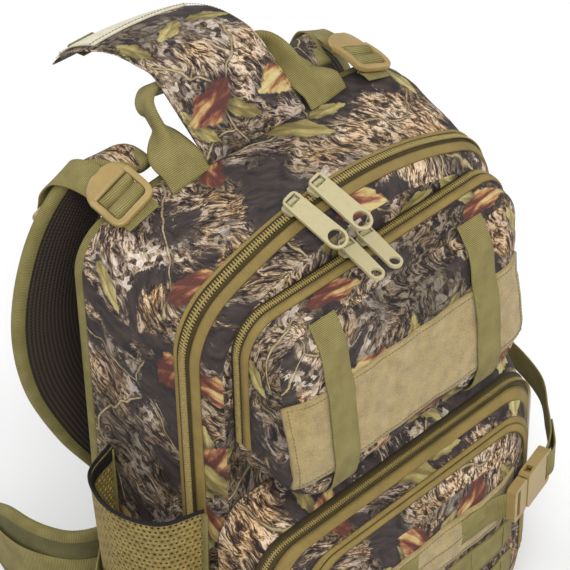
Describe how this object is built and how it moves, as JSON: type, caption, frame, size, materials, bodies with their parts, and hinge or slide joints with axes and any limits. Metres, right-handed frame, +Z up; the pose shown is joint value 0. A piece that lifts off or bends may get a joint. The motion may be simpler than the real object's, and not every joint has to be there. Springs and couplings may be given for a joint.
{
  "type": "hunting backpack",
  "caption": "Camouflage hunting backpack with an arched main zip, zipped front pockets, mesh bottle pockets, padded shoulder straps, a hip belt and an open closure flap.",
  "frame": {"origin": "on the underside of the base panel, mid width, under the middle of the bag's depth", "axes": "+Z up, the pockets face -Y, the wearer's back panel faces +Y, the wearer's right hand is at +X"},
  "size_m": [0.4158, 0.3993, 0.5153],
  "materials": {
    "camo_cloth": "printed Oxford weave, matte",
    "webbing": "ribbed woven webbing",
    "zip_coil": "woven tape with a moulded coil",
    "zip_tape": "woven tape",
    "slider_metal": "satin paint",
    "pull_paint": "satin paint",
    "loop_pile": "fuzzy loop pile",
    "hook_tape": "short hook pile",
    "buckle_plastic": "smooth moulded plastic",
    "pocket_mesh": "open knitted mesh",
    "elastic": "woven elastic",
    "spacer_mesh": "knitted spacer mesh",
    "sheet_plastic": "smooth sheet",
    "lining": "plain coated cloth",
    "base_cloth": "coarse coated weave"
  },
  "bodies": {
    "pack": {"back_panel": "spacer_mesh", "base_panel": "base_cloth", "bottle_pocket_left": "pocket_mesh", "bottle_pocket_right": "pocket_mesh", "bottle_rim_left": "elastic", "bottle_rim_right": "elastic", "buckle_anchors": "webbing", "compression_plug_left": "buckle_plastic", "compression_plug_right": "buckle_plastic", "frame_sheet": "sheet_plastic", "front_panel": "camo_cloth", "hydration_sleeve": "lining", "ladder_webbing": "webbing", "lock_anchors": "webbing", "loop_panel": "loop_pile", "lower_loop_band": "loop_pile", "lower_piping": "zip_tape", "lower_pocket": "camo_cloth", "lower_zip": "zip_coil", "main_zip": "zip_coil", "pocket_webbing": "webbing", "rear_bag": "camo_cloth", "strap_webbing_left": "webbing", "strap_webbing_right": "webbing", "upper_pocket": "camo_cloth", "upper_zip": "zip_coil"},
    "main_slider_left": {"main_slider_left": "slider_metal"},
    "main_pull_left": {"main_pull_left": "pull_paint"},
    "main_slider_right": {"main_slider_right": "slider_metal"},
    "main_pull_right": {"main_pull_right": "pull_paint"},
    "upper_slider_left": {"upper_slider_left": "slider_metal"},
    "upper_pull_left": {"upper_pull_left": "pull_paint"},
    "upper_slider_right": {"upper_slider_right": "slider_metal"},
    "upper_pull_right": {"upper_pull_right": "pull_paint"},
    "lower_slider": {"lower_slider": "slider_metal"},
    "lower_pull": {"lower_pull": "pull_paint"},
    "flap": {"flap": "camo_cloth", "flap_hook_strip": "hook_tape", "flap_pull_tab": "webbing"},
    "carry_handle": {"carry_handle": "webbing"},
    "ladder_lock_right": {"ladder_lock_right": "buckle_plastic"},
    "shoulder_strap_right": {"shoulder_strap_right": "camo_cloth", "lifter_slide_right": "buckle_plastic", "strap_adjuster_right": "buckle_plastic"},
    "hip_wing_right": {"hip_wing_right": "camo_cloth", "belt_webbing_right": "webbing", "belt_socket": "buckle_plastic"},
    "compression_socket_right": {"compression_socket_right": "buckle_plastic", "compression_webbing_right": "webbing"},
    "ladder_lock_left": {"ladder_lock_left": "buckle_plastic"},
    "shoulder_strap_left": {"shoulder_strap_left": "camo_cloth", "lifter_slide_left": "buckle_plastic", "strap_adjuster_left": "buckle_plastic"},
    "hip_wing_left": {"hip_wing_left": "camo_cloth", "belt_webbing_left": "webbing", "belt_plug": "buckle_plastic"},
    "compression_socket_left": {"compression_socket_left": "buckle_plastic", "compression_webbing_left": "webbing"}
  },
  "joints": [
    {"name": "main_zip_run_left", "type": "hinge", "parent": "pack", "child": "main_slider_left", "pos_m": [0, -0.046, 0.156], "axis": [0, 1, 0], "range_deg": [-9, 0]},
    {"name": "main_pull_swing_left", "type": "hinge", "parent": "main_slider_left", "child": "main_pull_left", "pos_m": [-0.0446, -0.046, 0.46394], "axis": [-0.9897, 0, -0.1433], "range_deg": [0, 54]},
    {"name": "main_zip_run_right", "type": "hinge", "parent": "pack", "child": "main_slider_right", "pos_m": [0, -0.046, 0.156], "axis": [0, 1, 0], "range_deg": [0, 18.5]},
    {"name": "main_pull_swing_right", "type": "hinge", "parent": "main_slider_right", "child": "main_pull_right", "pos_m": [-0.01971, -0.046, 0.46653], "axis": [-0.998, 0, -0.0633], "range_deg": [0, 54]},
    {"name": "upper_zip_run_left", "type": "slide", "parent": "pack", "child": "upper_slider_left", "axis": [-1, 0, 0], "range_m": [0, 0.065]},
    {"name": "upper_pull_swing_left", "type": "hinge", "parent": "upper_slider_left", "child": "upper_pull_left", "pos_m": [-0.023, -0.076, 0.43115], "axis": [-1, 0, 0], "range_deg": [0, 28]},
    {"name": "upper_zip_run_right", "type": "slide", "parent": "pack", "child": "upper_slider_right", "axis": [1, 0, 0], "range_m": [0, 0.085]},
    {"name": "upper_pull_swing_right", "type": "hinge", "parent": "upper_slider_right", "child": "upper_pull_right", "pos_m": [-0.005, -0.076, 0.43115], "axis": [-1, 0, 0], "range_deg": [0, 28]},
    {"name": "lower_zip_run", "type": "slide", "parent": "pack", "child": "lower_slider", "axis": [0, 0, -1], "range_m": [0, 0.04]},
    {"name": "lower_pull_swing", "type": "hinge", "parent": "lower_slider", "child": "lower_pull", "pos_m": [-0.15615, -0.106, 0.112], "axis": [0, 1, 0], "range_deg": [0, 18]},
    {"name": "flap_fold", "type": "hinge", "parent": "pack", "child": "flap", "pos_m": [0, 0.03, 0.4594], "axis": [1, 0, 0], "range_deg": [0, 105]},
    {"name": "handle_swing", "type": "hinge", "parent": "pack", "child": "carry_handle", "pos_m": [0, 0.03, 0.458], "axis": [1, 0, 0], "range_deg": [-8, 0]},
    {"name": "lock_tilt_right", "type": "hinge", "parent": "pack", "child": "ladder_lock_right", "pos_m": [0.118, 0.02935, 0.45743], "axis": [0.9272, 0, -0.3746], "range_deg": [0, 35]},
    {"name": "strap_swing_right", "type": "hinge", "parent": "pack", "child": "shoulder_strap_right", "pos_m": [0.084, 0.063, 0.46], "axis": [1, 0, 0], "range_deg": [-4, 28]},
    {"name": "wing_fold_right", "type": "hinge", "parent": "pack", "child": "hip_wing_right", "pos_m": [0.114, 0.068, 0.102], "axis": [0, 0, 1], "range_deg": [-5, 50]},
    {"name": "buckle_release_right", "type": "slide", "parent": "pack", "child": "compression_socket_right", "axis": [0.9703, 0.2419, 0], "range_m": [0, 0.022]},
    {"name": "lock_tilt_left", "type": "hinge", "parent": "pack", "child": "ladder_lock_left", "pos_m": [-0.118, 0.02935, 0.45743], "axis": [0.9272, 0, 0.3746], "range_deg": [0, 35]},
    {"name": "strap_swing_left", "type": "hinge", "parent": "pack", "child": "shoulder_strap_left", "pos_m": [-0.084, 0.063, 0.46], "axis": [1, 0, 0], "range_deg": [-4, 28]},
    {"name": "wing_fold_left", "type": "hinge", "parent": "pack", "child": "hip_wing_left", "pos_m": [-0.114, 0.068, 0.102], "axis": [0, 0, -1], "range_deg": [-5, 50]},
    {"name": "buckle_release_left", "type": "slide", "parent": "pack", "child": "compression_socket_left", "axis": [-0.9703, 0.2419, 0], "range_m": [0, 0.022]}
  ]
}
